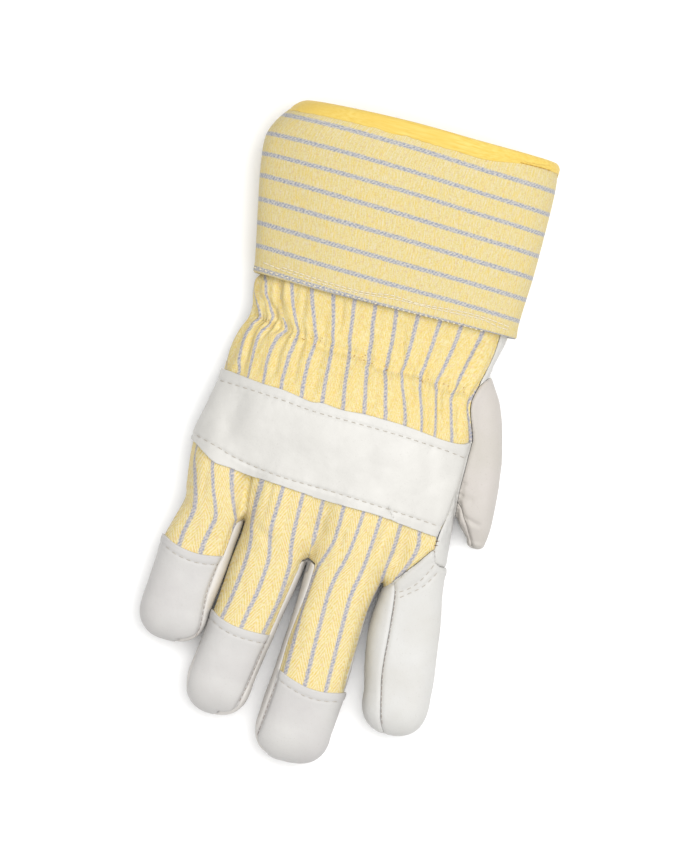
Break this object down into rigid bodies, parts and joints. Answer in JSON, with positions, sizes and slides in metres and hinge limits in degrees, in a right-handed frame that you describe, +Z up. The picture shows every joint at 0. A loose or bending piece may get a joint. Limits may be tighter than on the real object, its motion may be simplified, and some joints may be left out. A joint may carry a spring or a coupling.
{
  "type": "rigger glove",
  "caption": "Right-hand rigger glove, palm down: striped cotton back and cuff with a yellow binding, leather palm, knuckle strap, fingertips, index finger and thumb.",
  "frame": {"origin": "middle of the footprint's box, on the surface that the glove lies on", "axes": "+Y from the fingertips towards the cuff, +X towards the thumb side, +Z up, out of the back of the hand"},
  "size_m": [0.1356, 0.2726, 0.051],
  "materials": {
    "canvas": "matt heathered canvas with grey stripes",
    "binding_tape": "matt woven tape",
    "cotton": "matt striped twill",
    "leather": "soft pale grain leather"
  },
  "bodies": {
    "root": {"cuff": "canvas", "cuff_binding": "binding_tape", "back_cloth": "cotton", "knuckle_strap": "leather", "little_tip": "leather", "ring_tip": "leather", "middle_tip": "leather", "index_back": "leather", "palm": "leather", "little_front": "leather", "ring_front": "leather", "middle_front": "leather", "index_front": "leather", "thumb_outer": "leather", "thumb_inner": "leather"}
  },
  "joints": []
}
